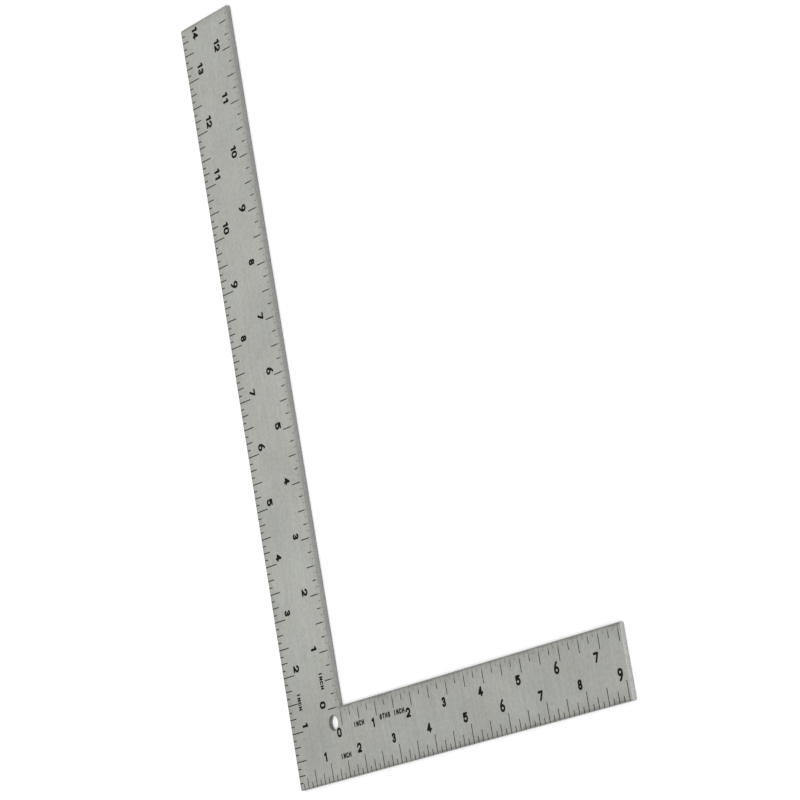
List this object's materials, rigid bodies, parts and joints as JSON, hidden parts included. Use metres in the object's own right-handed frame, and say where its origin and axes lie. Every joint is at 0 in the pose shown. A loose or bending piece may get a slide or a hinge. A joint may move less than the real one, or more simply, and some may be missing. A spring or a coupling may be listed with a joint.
{
  "type": "steel square ruler",
  "caption": "Flat L-shaped steel ruler with inch scales along its inner and outer edges and a round hanging hole at the corner.",
  "frame": {"origin": "centre of the bounding box at the plain back face, where the tool rests", "axes": "+X along the tongue (short arm) away from the corner, +Y along the blade (long arm) away from the corner, +Z out of the marked face"},
  "size_m": [0.2306, 0.3556, 0.0019],
  "materials": {
    "steel": "satin brushed, with rounded edges",
    "line_enamel": "matt dark enamel in the etched lines",
    "numeral_enamel": "matt black enamel in the etched characters"
  },
  "bodies": {
    "root": {"steel_plate": "steel", "blade_outer_graduations": "line_enamel", "blade_inner_graduations": "line_enamel", "tongue_outer_graduations": "line_enamel", "tongue_inner_graduations": "line_enamel", "blade_outer_numerals": "numeral_enamel", "blade_inner_numerals": "numeral_enamel", "tongue_outer_numerals": "numeral_enamel", "tongue_inner_numerals": "numeral_enamel", "blade_outer_unit_label": "numeral_enamel", "blade_inner_unit_label": "numeral_enamel", "tongue_outer_unit_label": "numeral_enamel", "tongue_inner_unit_label": "numeral_enamel", "tongue_division_label": "numeral_enamel"}
  },
  "joints": []
}
